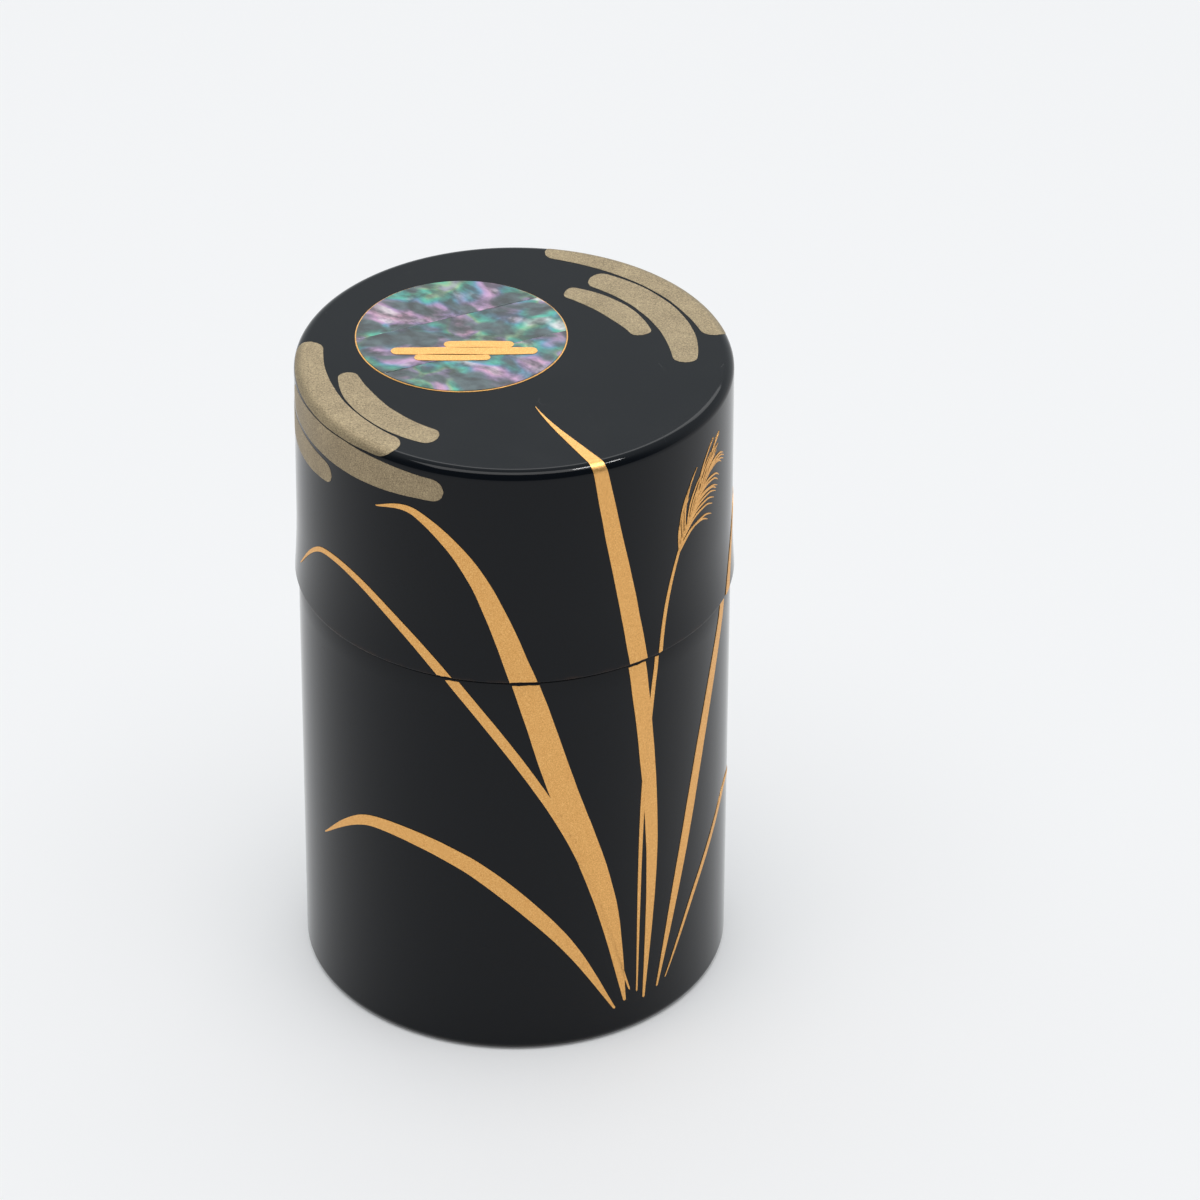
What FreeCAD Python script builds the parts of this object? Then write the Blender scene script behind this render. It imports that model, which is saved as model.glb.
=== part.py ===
# Lacquer tea caddy: a turned wooden canister with a lift-off lid and an inner lid.
# Millimetres. +Z is up, and the origin is the middle of the face that the caddy stands on.

import FreeCAD, Part
import math
import os

import Sketcher

# Driving sizes. Heights are measured up from the surface that the caddy stands on.
SIZES = {
    # Outside of the closed caddy.
    "body_radius": 37.5,
    "seam_height": 78.5,
    "base_rounding": 1.5,
    "shoulder_rounding": 1.8,
    # The body's top edge is drawn in and rounded below the seam, and the lid flares out above it.
    "draw_in": 0.25,
    "draw_in_height": 4.5,
    "mouth_rounding": 0.9,
    "lid_taper": 0.15,
    "lid_flare": 0.5,
    "lid_flare_height": 12.0,
    "rim_rounding": 0.25,
    # Body wall, and the base disc let into its foot.
    "wall_thickness": 4.5,
    "foot_ring_width": 1.4,
    "base_recess": 0.6,
    "base_thickness": 4.0,
    # Neck sleeve, glued inside the body wall.
    "neck_wall": 1.6,
    "neck_rise": 16.0,
    "neck_depth": 14.0,
    "neck_rounding": 0.4,
    # Lid. Its headroom is the free height between the inner lid's knob and the lid's ceiling.
    "lid_clearance": 0.08,
    "lid_headroom": 9.6,
    "lid_top_side": 3.5,
    "lid_top_thickness": 4.5,
    # Inner lid.
    "plate_thickness": 2.4,
    "plate_side_gap": 0.4,
    "plug_clearance": 0.08,
    "plug_depth": 5.0,
    "plug_wall": 2.5,
    "plate_rounding": 0.6,
    # Knob of the inner lid.
    "knob_radius": 7.5,
    "knob_height": 9.0,
    "knob_stem_radius": 4.5,
    "knob_stem_height": 2.6,
    "knob_edge": 3.6,
    "knob_rounding": 1.8,
    "knob_spigot_radius": 3.0,
    # Shell moon, pieced from strips and let into the lid top.
    "moon_radius": 18.0,
    "moon_x": -9.0,
    "moon_y": 6.5,
    "moon_turn": 24.0,
    "shell_thickness": 0.5,
    "shell_inlay_depth": 0.25,
    "shell_fit": 0.05,
    "shell_joint": 0.12,
    # Glue line around every glued piece.
    "glue_line": 0.05,
}

# The moon is cut from three strips of shell.
MOON_STRIPS = 3

# An edge is taken as the wanted one when its circle lies within this distance of the wanted place.
SAME_PLACE = 0.0001

# Sizes that follow from the driving ones, written as the sheet's own formulas.
BORE_RADIUS = "(Sizes.body_radius - Sizes.wall_thickness)"
NECK_RADIUS = "(" + BORE_RADIUS + " + Sizes.neck_wall)"
LID_BORE = "(" + NECK_RADIUS + " + Sizes.lid_clearance)"
NECK_TOP = "(Sizes.seam_height + Sizes.neck_rise)"
NECK_FOOT = "(Sizes.seam_height - Sizes.neck_depth)"
BASE_RADIUS = "(Sizes.body_radius - Sizes.base_rounding - Sizes.foot_ring_width)"
BASE_TOP = "(Sizes.base_recess + Sizes.base_thickness)"
PLATE_TOP = "(" + NECK_TOP + " + Sizes.plate_thickness)"
KNOB_TOP = "(" + PLATE_TOP + " + Sizes.knob_height)"
LID_CEILING = "(" + KNOB_TOP + " + Sizes.lid_headroom)"
TOTAL_HEIGHT = "(" + LID_CEILING + " + Sizes.lid_top_thickness)"
LID_JOINT = "(" + TOTAL_HEIGHT + " - Sizes.lid_top_side)"
FLARE_RADIUS = "(Sizes.body_radius + Sizes.lid_taper)"
RIM_RADIUS = "(" + FLARE_RADIUS + " + Sizes.lid_flare)"
PLUG_RADIUS = "(" + BORE_RADIUS + " - Sizes.plug_clearance)"
PLUG_FOOT = "(" + NECK_TOP + " - Sizes.plug_depth)"
INLAY_FLOOR = "(" + TOTAL_HEIGHT + " - Sizes.shell_inlay_depth)"

# A sketch coordinate of zero: the point lies on the turning axis, or on the standing surface.
ON_AXIS = "axis"

doc = FreeCAD.newDocument("tea_caddy")
sheet = doc.addObject("Spreadsheet::Sheet", "Sizes")


def fill_sheet():
    """Write each driving size into a cell of its own, with its name as the alias."""
    for row, (name, value) in enumerate(SIZES.items(), start=1):
        sheet.set("A%d" % row, name)
        sheet.set("B%d" % row, str(value))
        sheet.setAlias("B%d" % row, name)
    doc.recompute()


def number(formula):
    """Value of a sheet formula, or of ON_AXIS, as a plain number."""
    if formula == ON_AXIS:
        return 0.0
    return float(FreeCAD.Units.Quantity(sheet.evalExpression(formula)).Value)


def new_body(name):
    body = doc.addObject("PartDesign::Body", name)
    body.Label = name
    return body


def new_sketch(body, name, plane):
    """Sketch on one of the body's own origin planes."""
    sketch = body.newObject("Sketcher::SketchObject", name)
    for feature in body.Origin.OriginFeatures:
        if feature.Role == plane:
            sketch.AttachmentSupport = [(feature, "")]
    sketch.MapMode = "FlatFace"
    return sketch


def place_point(sketch, geometry, end, x, y, name):
    """Fix one end of a line by the formulas for its distances from the sketch's origin."""
    if x == ON_AXIS:
        sketch.addConstraint(Sketcher.Constraint("PointOnObject", geometry, end, -2))
    else:
        index = sketch.addConstraint(Sketcher.Constraint("DistanceX", -1, 1, geometry, end, number(x)))
        sketch.renameConstraint(index, name + "_x")
        sketch.setExpression("Constraints.%s_x" % name, x)
    if y == ON_AXIS:
        sketch.addConstraint(Sketcher.Constraint("PointOnObject", geometry, end, -1))
    else:
        index = sketch.addConstraint(Sketcher.Constraint("DistanceY", -1, 1, geometry, end, number(y)))
        sketch.renameConstraint(index, name + "_y")
        sketch.setExpression("Constraints.%s_y" % name, y)


def outline(sketch, corners):
    """Closed outline through named corners (name, x, y).

    A corner may have a fourth entry, "arc": the side that ends there is then an arc that leaves
    the side before it without a kink.
    """
    points = [FreeCAD.Vector(number(corner[1]), number(corner[2]), 0) for corner in corners]
    sides = []
    for i, corner in enumerate(corners):
        start = points[i - 1]
        finish = points[i]
        if len(corner) == 4:
            before = (start - points[i - 2]).normalize()
            sides.append(sketch.addGeometry(tangent_arc(start, before, finish), False))
        else:
            sides.append(sketch.addGeometry(Part.LineSegment(start, finish), False))
    ends = [side_ends(sketch, sides[i], points[i]) for i in range(len(corners))]
    for i, corner in enumerate(corners):
        after = (i + 1) % len(corners)
        join = "Tangent" if len(corners[after]) == 4 else "Coincident"
        geometry, end = sides[i], ends[i][1]
        sketch.addConstraint(Sketcher.Constraint(join, geometry, end, sides[after], ends[after][0]))
        place_point(sketch, geometry, end, corner[1], corner[2], corner[0])


def tangent_arc(start, direction, finish):
    """Arc that leaves start along direction and ends at finish."""
    chord = finish - start
    normal = FreeCAD.Vector(-direction.y, direction.x, 0)
    radius = chord.dot(chord) / (2 * chord.dot(normal))
    centre = start + normal * radius
    half_turn = math.atan2(chord.dot(normal), chord.dot(direction))
    swing = FreeCAD.Rotation(FreeCAD.Vector(0, 0, 1), math.degrees(half_turn))
    middle = centre + swing.multVec(start - centre)
    return Part.Arc(start, middle, finish)


def side_ends(sketch, side, finish):
    """The side's first and second end, 1 or 2 each, in the order in which the outline runs."""
    if (sketch.getPoint(side, 2) - finish).Length < (sketch.getPoint(side, 1) - finish).Length:
        return 1, 2
    return 2, 1


def turned(name, corners):
    """Body turned on the lathe: the outline is spun around the upright axis."""
    body = new_body(name)
    sketch = new_sketch(body, name + "_outline", "XZ_Plane")
    outline(sketch, corners)
    doc.recompute()
    spin = body.newObject("PartDesign::Revolution", name + "_turned")
    spin.Profile = sketch
    spin.ReferenceAxis = (sketch, ["V_Axis"])
    spin.Angle = 360.0
    doc.recompute()
    return body


def round_edge(body, name, radius, ring_radius, ring_height):
    """Round one circular edge of a turned body, found by where it lies."""
    base = body.Tip
    names = []
    for i, edge in enumerate(base.Shape.Edges, start=1):
        if not isinstance(edge.Curve, Part.Circle):
            continue
        off_radius = abs(edge.Curve.Radius - number(ring_radius))
        off_height = abs(edge.Curve.Center.z - number(ring_height))
        if max(off_radius, off_height) < SAME_PLACE:
            names.append("Edge%d" % i)
    fillet = body.newObject("PartDesign::Fillet", name)
    fillet.Base = (base, names)
    fillet.setExpression("Radius", radius)
    doc.recompute()
    return fillet


def make_body_wall():
    body = turned("body_wall", [
        ("foot_in", BASE_RADIUS, ON_AXIS),
        ("foot_out", "Sizes.body_radius", ON_AXIS),
        ("draw_start", "Sizes.body_radius", "Sizes.seam_height - Sizes.draw_in_height"),
        ("seam_out", "Sizes.body_radius - Sizes.draw_in", "Sizes.seam_height", "arc"),
        ("seam_in", NECK_RADIUS + " + Sizes.glue_line", "Sizes.seam_height"),
        ("neck_ledge_out", NECK_RADIUS + " + Sizes.glue_line", NECK_FOOT),
        ("neck_ledge_in", BORE_RADIUS, NECK_FOOT),
        ("bore_foot", BORE_RADIUS, BASE_TOP),
        ("base_ledge", BASE_RADIUS, BASE_TOP),
    ])
    round_edge(body, "foot_round", "Sizes.base_rounding", "Sizes.body_radius", ON_AXIS)
    mouth_radius = "Sizes.body_radius - Sizes.draw_in"
    round_edge(body, "mouth_round", "Sizes.mouth_rounding", mouth_radius, "Sizes.seam_height")


def make_body_base():
    turned("body_base", [
        ("foot_middle", ON_AXIS, "Sizes.base_recess"),
        ("foot_out", BASE_RADIUS + " - Sizes.glue_line", "Sizes.base_recess"),
        ("top_out", BASE_RADIUS + " - Sizes.glue_line", BASE_TOP),
        ("top_middle", ON_AXIS, BASE_TOP),
    ])


def make_neck_sleeve():
    body = turned("neck_sleeve", [
        ("foot_in", BORE_RADIUS, NECK_FOOT),
        ("foot_out", NECK_RADIUS, NECK_FOOT),
        ("top_out", NECK_RADIUS, NECK_TOP),
        ("top_in", BORE_RADIUS, NECK_TOP),
    ])
    round_edge(body, "neck_round", "Sizes.neck_rounding", NECK_RADIUS, NECK_TOP)


def make_lid_wall():
    body = turned("lid_wall", [
        ("rim_in", LID_BORE, "Sizes.seam_height"),
        ("top_in", LID_BORE, LID_JOINT),
        ("top_out", "Sizes.body_radius", LID_JOINT),
        ("flare_start", FLARE_RADIUS, "Sizes.seam_height + Sizes.lid_flare_height"),
        ("rim_out", RIM_RADIUS, "Sizes.seam_height", "arc"),
    ])
    round_edge(body, "rim_round", "Sizes.rim_rounding", RIM_RADIUS, "Sizes.seam_height")


def make_lid_top():
    body = turned("lid_top", [
        ("ceiling_middle", ON_AXIS, LID_CEILING),
        ("ceiling_out", LID_BORE + " - Sizes.glue_line", LID_CEILING),
        ("joint_in", LID_BORE + " - Sizes.glue_line", LID_JOINT),
        ("joint_out", "Sizes.body_radius", LID_JOINT),
        ("top_out", "Sizes.body_radius", TOTAL_HEIGHT),
        ("top_middle", ON_AXIS, TOTAL_HEIGHT),
    ])
    round_edge(body, "shoulder_round", "Sizes.shoulder_rounding", "Sizes.body_radius", TOTAL_HEIGHT)

    sketch = new_sketch(body, "inlay_outline", "XY_Plane")
    sketch.setExpression("AttachmentOffset.Base.z", TOTAL_HEIGHT)
    circle = sketch.addGeometry(Part.Circle(), False)
    sketch.addConstraint(Sketcher.Constraint("Radius", circle, number("Sizes.moon_radius")))
    sketch.renameConstraint(0, "inlay_radius")
    sketch.setExpression("Constraints.inlay_radius", "Sizes.moon_radius + Sizes.shell_fit")
    place_point(sketch, circle, 3, "Sizes.moon_x", "Sizes.moon_y", "moon")
    doc.recompute()
    pocket = body.newObject("PartDesign::Pocket", "inlay_seat")
    pocket.Profile = sketch
    pocket.setExpression("Length", "Sizes.shell_inlay_depth")
    doc.recompute()


def make_inner_lid():
    body = turned("inner_lid", [
        ("hole_foot", "Sizes.knob_spigot_radius + Sizes.glue_line", NECK_TOP),
        ("plug_inside", PLUG_RADIUS + " - Sizes.plug_wall", NECK_TOP),
        ("plug_foot_in", PLUG_RADIUS + " - Sizes.plug_wall", PLUG_FOOT),
        ("plug_foot_out", PLUG_RADIUS, PLUG_FOOT),
        ("plug_top", PLUG_RADIUS, NECK_TOP),
        ("plate_foot", LID_BORE + " - Sizes.plate_side_gap", NECK_TOP),
        ("plate_out", LID_BORE + " - Sizes.plate_side_gap", PLATE_TOP),
        ("hole_top", "Sizes.knob_spigot_radius + Sizes.glue_line", PLATE_TOP),
    ])
    round_edge(body, "plate_round", "Sizes.plate_rounding", LID_BORE + " - Sizes.plate_side_gap", PLATE_TOP)
    round_edge(body, "plug_round", "Sizes.plate_rounding", PLUG_RADIUS, PLUG_FOOT)


def make_knob():
    body = turned("inner_lid_knob", [
        ("spigot_middle", ON_AXIS, NECK_TOP),
        ("spigot_out", "Sizes.knob_spigot_radius", NECK_TOP),
        ("spigot_top", "Sizes.knob_spigot_radius", PLATE_TOP),
        ("stem_foot", "Sizes.knob_stem_radius", PLATE_TOP),
        ("stem_top", "Sizes.knob_stem_radius", PLATE_TOP + " + Sizes.knob_stem_height"),
        ("head_foot", "Sizes.knob_radius", KNOB_TOP + " - Sizes.knob_edge"),
        ("head_out", "Sizes.knob_radius", KNOB_TOP),
        ("head_middle", ON_AXIS, KNOB_TOP),
    ])
    round_edge(body, "knob_round", "Sizes.knob_rounding", "Sizes.knob_radius", KNOB_TOP)


def make_moon_strip(index):
    """One strip of the shell moon: a disc, cut down to the strip's width between its joints."""
    name = "moon_shell_%d" % (index + 1)
    width = "(2 * Sizes.moon_radius / %d)" % MOON_STRIPS
    low = "(%d * %s - Sizes.moon_radius + Sizes.shell_joint / 2)" % (index, width)
    high = "(%d * %s - Sizes.moon_radius - Sizes.shell_joint / 2)" % (index + 1, width)

    disc = doc.addObject("Part::Cylinder", name + "_disc")
    disc.setExpression("Radius", "Sizes.moon_radius")
    disc.setExpression("Height", "Sizes.shell_thickness")
    strip = doc.addObject("Part::Box", name + "_strip")
    strip.setExpression("Length", "2 * Sizes.moon_radius")
    strip.setExpression("Width", high + " - " + low)
    strip.setExpression("Height", "Sizes.shell_thickness")
    strip.setExpression("Placement.Base.x", "-Sizes.moon_radius")
    strip.setExpression("Placement.Base.y", low)
    shell = doc.addObject("Part::Common", name)
    shell.Label = name
    shell.Base = disc
    shell.Tool = strip
    upright = FreeCAD.Vector(0, 0, 1)
    shell.Placement = FreeCAD.Placement(FreeCAD.Vector(), FreeCAD.Rotation(upright, 0))
    shell.setExpression("Placement.Base.x", "Sizes.moon_x")
    shell.setExpression("Placement.Base.y", "Sizes.moon_y")
    shell.setExpression("Placement.Base.z", INLAY_FLOOR)
    shell.setExpression("Placement.Rotation.Angle", "Sizes.moon_turn")


def check(node):
    """Stop with a plain message if an object failed or its shape is not sound."""
    for item in [node] + node.OutListRecursive:
        if "Invalid" in item.State or "Error" in item.State:
            raise RuntimeError("failed: " + item.Name)
    if node.Shape.isNull() or not node.Shape.isValid() or not node.Shape.Solids:
        raise RuntimeError("no sound solid: " + node.Name)


def export(names):
    os.makedirs("parts", exist_ok=True)
    for name in names:
        node = doc.getObject(name)
        node.Shape.exportStep("parts/%s.step" % name)
        box = node.Shape.optimalBoundingBox(True, False)
        print("%-16s %9.1f mm3  z %.2f to %.2f" % (name, node.Shape.Volume, box.ZMin, box.ZMax))


fill_sheet()
make_body_wall()
make_body_base()
make_neck_sleeve()
make_lid_wall()
make_lid_top()
make_inner_lid()
make_knob()
for strip_index in range(MOON_STRIPS):
    make_moon_strip(strip_index)
doc.recompute()

NODES = ["body_wall", "body_base", "neck_sleeve", "lid_wall", "lid_top", "inner_lid", "inner_lid_knob"]
NODES += ["moon_shell_%d" % (i + 1) for i in range(MOON_STRIPS)]
for node_name in NODES:
    check(doc.getObject(node_name))
export(NODES)
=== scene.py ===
"""Lacquer tea caddy: its polished skin, shell moon and gold picture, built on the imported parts."""
import math

import bpy
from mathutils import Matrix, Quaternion, Vector, noise


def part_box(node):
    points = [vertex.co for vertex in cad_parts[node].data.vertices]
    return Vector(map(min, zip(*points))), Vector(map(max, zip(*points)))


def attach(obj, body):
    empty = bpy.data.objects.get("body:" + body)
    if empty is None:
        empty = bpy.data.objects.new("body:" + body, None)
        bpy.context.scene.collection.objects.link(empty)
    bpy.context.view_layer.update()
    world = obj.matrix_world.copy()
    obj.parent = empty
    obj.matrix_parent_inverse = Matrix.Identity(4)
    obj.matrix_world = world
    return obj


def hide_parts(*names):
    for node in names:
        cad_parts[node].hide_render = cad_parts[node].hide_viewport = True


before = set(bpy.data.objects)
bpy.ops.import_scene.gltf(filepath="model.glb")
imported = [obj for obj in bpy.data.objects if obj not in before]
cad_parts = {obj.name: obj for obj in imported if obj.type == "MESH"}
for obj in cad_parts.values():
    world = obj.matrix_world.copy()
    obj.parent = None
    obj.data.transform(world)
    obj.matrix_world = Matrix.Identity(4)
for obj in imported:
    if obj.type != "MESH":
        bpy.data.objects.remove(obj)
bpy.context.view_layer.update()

MM = 0.001

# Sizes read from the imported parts.
BODY_LOW, BODY_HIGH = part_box("body_wall")
BASE_LOW, BASE_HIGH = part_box("body_base")
NECK_LOW, NECK_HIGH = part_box("neck_sleeve")
WALL_LOW, WALL_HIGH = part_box("lid_wall")
TOP_LOW, TOP_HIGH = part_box("lid_top")
INNER_LOW, INNER_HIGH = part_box("inner_lid")
KNOB_LOW, KNOB_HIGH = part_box("inner_lid_knob")
SHELL_LOW, SHELL_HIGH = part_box("moon_shell_2")

RADIUS = TOP_HIGH.x
SEAM = BODY_HIGH.z
HEIGHT = TOP_HIGH.z
RIM_RADIUS = WALL_HIGH.x
NECK_RADIUS = NECK_HIGH.x
LID_CEILING = TOP_LOW.z

# Sizes that the boxes don't give, as in the parts.
NECK_WALL = 1.6 * MM
LID_CLEARANCE = 0.08 * MM
PLUG_CLEARANCE = 0.08 * MM
PLUG_WALL = 2.5 * MM
PLATE_ROUNDING = 0.6 * MM
GLUE_LINE = 0.05 * MM
KNOB_SPIGOT = 3.0 * MM
KNOB_STEM = 4.5 * MM
KNOB_STEM_HEIGHT = 2.6 * MM
KNOB_EDGE = 3.6 * MM
KNOB_ROUNDING = 1.8 * MM
DRAW_IN = 0.25 * MM
DRAW_IN_HEIGHT = 4.5 * MM
LID_JOINT = 3.5 * MM
TAPER = 0.15 * MM
FLARE = 0.5 * MM
FLARE_HEIGHT = 12.0 * MM
SHOULDER = 1.8 * MM
FOOT_ROUNDING = 1.5 * MM
RIM_ROUNDING = 0.25 * MM
MOUTH_ROUNDING = 0.9 * MM
NECK_ROUNDING = 0.4 * MM
MOON_RADIUS = 18.0 * MM
MOON = Vector((-9.0 * MM, 6.5 * MM, 0.0))
MOON_TURN = math.radians(24.0)
MOON_STRIPS = 3
SHELL_JOINT = 0.12 * MM

# Sizes that follow from these.
BORE = NECK_RADIUS - NECK_WALL
LID_BORE = NECK_RADIUS + LID_CLEARANCE

# Steps around the turned pieces and over a rounding, enough for a smooth outline in a close view.
AROUND = 256
AROUND_KNOB = 96
AROUND_MOON = 160
OVER_ROUNDING = 8

# Corners closer together than this are one corner.
MERGE = 0.002 * MM

# Edges that bend by more than this many degrees stay sharp, on solid pieces and on films.
CREASE = 35.0
FILM_CREASE = 40.0


def pick_corner(piece, spot):
    """Selects the corner of the open piece that lies at a spot, and nothing else."""
    bpy.ops.object.mode_set(mode="OBJECT")
    mesh = piece.data
    for part in (mesh.vertices, mesh.edges, mesh.polygons):
        part.foreach_set("select", [False] * len(part))
    for vertex in mesh.vertices:
        vertex.select = (vertex.co - spot).length < MERGE
    bpy.ops.object.mode_set(mode="EDIT")
    bpy.ops.mesh.select_mode(type="VERT")


def finish_piece(piece, name, body, material, replaced=()):
    """Names a finished piece, gives it its finish and sets it on the body that carries it."""
    piece.name = name
    piece.data.name = name
    piece.data.materials.clear()
    piece.data.materials.append(material)
    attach(piece, body)
    if replaced:
        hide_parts(*replaced)


def apply_all(piece):
    """Turns the open piece's modifiers into plain mesh."""
    for modifier in list(piece.modifiers):
        bpy.ops.object.modifier_apply(modifier=modifier.name)


def smooth(piece):
    """Smooth shading, with sharp edges kept, and flat faces kept flat beside small roundings."""
    bpy.ops.object.shade_smooth_by_angle(angle=math.radians(CREASE))
    bpy.ops.object.modifier_add(type="WEIGHTED_NORMAL")
    piece.modifiers[-1].keep_sharp = True
    apply_all(piece)


def turn(corners, steps=AROUND, centre=(0.0, 0.0)):
    """A piece from the lathe: its half outline is drawn corner by corner, rounded, and spun once around.

    A corner is (radius, height) or (radius, height, rounding). An outline that starts off the axis
    is closed.
    """
    corners = [tuple(corner) + (0.0,) * (3 - len(corner)) for corner in corners]
    bpy.ops.object.select_all(action="DESELECT")
    bpy.ops.mesh.primitive_plane_add(size=MM)
    piece = bpy.context.object
    bpy.ops.object.mode_set(mode="EDIT")
    bpy.ops.mesh.merge(type="CENTER")
    bpy.ops.transform.translate(value=(corners[0][0], 0.0, corners[0][1]))
    route = corners if corners[0][0] < MERGE else corners + corners[:1]
    for here, there in zip(route, route[1:]):
        step = (there[0] - here[0], 0.0, there[1] - here[1])
        bpy.ops.mesh.extrude_region_move(TRANSFORM_OT_translate={"value": step})
    bpy.ops.mesh.select_all(action="SELECT")
    bpy.ops.mesh.remove_doubles(threshold=MERGE)
    for radius, height, rounding in corners:
        if rounding:
            pick_corner(piece, Vector((radius, 0.0, height)))
            bpy.ops.mesh.bevel(offset=rounding, segments=OVER_ROUNDING, affect="VERTICES")
    bpy.ops.mesh.select_all(action="SELECT")
    bpy.ops.mesh.spin(steps=steps, angle=math.tau, center=(0.0, 0.0, 0.0), axis=(0.0, 0.0, 1.0))
    bpy.ops.mesh.select_all(action="SELECT")
    bpy.ops.mesh.remove_doubles(threshold=MERGE)
    bpy.ops.mesh.normals_make_consistent(inside=False)
    bpy.ops.transform.translate(value=(centre[0], centre[1], 0.0))
    bpy.ops.object.mode_set(mode="OBJECT")
    smooth(piece)
    return piece


# The outer skin. It is drawn flat for the picture: up runs up the wall, round the shoulder and on to
# the middle of the top, and around runs along the wall from the middle of the front.

SHOULDER_START = HEIGHT - SHOULDER
SHOULDER_END = SHOULDER_START + SHOULDER * math.pi / 2
FLAT_RADIUS = RADIUS - SHOULDER


def body_radius(height):
    """Radius of the body's outside, drawn in below the seam."""
    drawn = max(0.0, height - (SEAM - DRAW_IN_HEIGHT)) / DRAW_IN_HEIGHT
    return RADIUS - DRAW_IN * drawn ** 2


def mouth_radius(height):
    """Radius of the body's outside where its mouth is rounded."""
    over = min(max(0.0, height - (SEAM - MOUTH_ROUNDING)), MOUTH_ROUNDING)
    return body_radius(height) - MOUTH_ROUNDING + math.sqrt(MOUTH_ROUNDING ** 2 - over ** 2)


def lid_radius(height):
    """Radius of the lid's outside: a slight taper, then a flare down to the rim."""
    joint = HEIGHT - LID_JOINT
    flare_top = SEAM + FLARE_HEIGHT
    slope = TAPER / (joint - flare_top)
    if height >= flare_top:
        return RADIUS + slope * max(0.0, joint - height)
    below = flare_top - height
    bend = (FLARE - slope * FLARE_HEIGHT) / FLARE_HEIGHT ** 2
    return RADIUS + TAPER + slope * below + bend * below ** 2


def skin(part, up, lift):
    """(radius, height) of a point of the skin, lifted off it by a film's thickness."""
    if up <= SHOULDER_START:
        wall = lid_radius if part == "lid" else mouth_radius
        return wall(up) + lift, up
    if up < SHOULDER_END:
        turned = (up - SHOULDER_START) / SHOULDER
        reach = SHOULDER + lift
        return FLAT_RADIUS + reach * math.cos(turned), SHOULDER_START + reach * math.sin(turned)
    return FLAT_RADIUS - (up - SHOULDER_END), HEIGHT + lift


def on_wall(part, around, up, lift):
    """A point of the picture on the wall, and on over the shoulder."""
    radius, height = skin(part, up, lift)
    turned = around / RADIUS
    return Vector((radius * math.sin(turned), -radius * math.cos(turned), height))


def on_moon(part, x, y, lift):
    """A point of the picture on the shell moon, which lies on the lid alone."""
    return Vector((x, y, SHELL_HIGH.z + lift))


def through(points, share):
    """Point on a smooth line through given points, each a tuple of numbers, at a share of its length."""
    last = len(points) - 1
    place = min(share * last, last - 1e-9)
    start = int(place)
    t = place - start
    before, here = points[max(start - 1, 0)], points[start]
    there, after = points[start + 1], points[min(start + 2, last)]
    point = []
    for a, b, c, d in zip(before, here, there, after):
        slope = (c - a) * t
        bend = (2 * a - 5 * b + 4 * c - d) * t ** 2
        twist = (3 * b - a - 3 * c + d) * t ** 3
        point.append(0.5 * (2 * b + slope + bend + twist))
    return point


# How far the gold stops short of the seam, on each side of it.
LID_GAP = 0.3 * MM
BODY_GAP = 0.95 * MM

# Foot of a film over the true skin, its thickness, and the size of its cells along and across the stroke.
GOLD = (0.012 * MM, 0.07 * MM, 0.35 * MM, 0.6 * MM)
DUST = (0.012 * MM, 0.02 * MM, 0.5 * MM, 0.35 * MM)

# A stroke's fewest cells along and across it.
FEWEST_ALONG = 12
FEWEST_ACROSS = 3

# The share of a stroke over which its direction is taken, the length over which its width wavers, and
# the share of its width that is left at the very tip of a round end.
DIRECTION_SHARE = 0.002
WAVER = 5.0 * MM
TIP_WIDTH = 0.02


def stroke(place, part, points, film, round_ends=False, sway=0.04):
    """A stroke of gold on the skin, through points (across, up, width) in millimetres.

    place lays the flat picture on the skin, and the stroke is cut short of the seam. sway is how much
    the width wavers, as it does where it is drawn with a brush.
    """
    foot, thickness, cell_along, cell_across = film
    points = [tuple(value * MM for value in point) for point in points]
    length = sum(math.dist(a[:2], b[:2]) for a, b in zip(points, points[1:]))
    widest = max(width for across, up, width in points)
    steps = max(FEWEST_ALONG, round(length / cell_along))
    cells = max(FEWEST_ACROSS, round(widest / cell_across))
    bpy.ops.object.select_all(action="DESELECT")
    bpy.ops.mesh.primitive_grid_add(x_subdivisions=steps, y_subdivisions=cells, size=1.0)
    piece = bpy.context.object
    for vertex in piece.data.vertices:
        share, side = vertex.co.x + 0.5, vertex.co.y
        across, up, width = through(points, share)
        ahead = through(points, min(share + DIRECTION_SHARE, 1.0))
        behind = through(points, max(share - DIRECTION_SHARE, 0.0))
        run = Vector((ahead[0] - behind[0], ahead[1] - behind[1])).normalized()
        waver = noise.noise(Vector((across, up, side)) / WAVER)
        width *= 1.0 + sway * waver
        if round_ends:
            end = min(math.dist((across, up), points[0][:2]), math.dist((across, up), points[-1][:2]))
            inside = max(0.0, 1.0 - end / (width / 2))
            width *= max(TIP_WIDTH, math.sqrt(1.0 - inside ** 2))
        vertex.co = place(part, across - run.y * side * width, up + run.x * side * width, foot)
    bpy.ops.object.mode_set(mode="EDIT")
    bpy.ops.mesh.select_all(action="SELECT")
    edge = SEAM + LID_GAP if part == "lid" else SEAM - BODY_GAP
    bpy.ops.mesh.bisect(
        plane_co=(0.0, 0.0, edge), plane_no=(0.0, 0.0, 1.0),
        clear_inner=part == "lid", clear_outer=part == "body",
    )
    bpy.ops.object.mode_set(mode="OBJECT")
    bpy.ops.object.modifier_add(type="SOLIDIFY")
    piece.modifiers[-1].thickness = thickness
    piece.modifiers[-1].offset = 1.0
    apply_all(piece)
    bpy.ops.object.shade_smooth_by_angle(angle=math.radians(FILM_CREASE))
    return piece


def join(pieces):
    """One piece of several, with the first as the one that stays."""
    bpy.ops.object.select_all(action="DESELECT")
    for piece in pieces:
        piece.select_set(True)
    bpy.context.view_layer.objects.active = pieces[0]
    bpy.ops.object.join()
    return bpy.context.object


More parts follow.
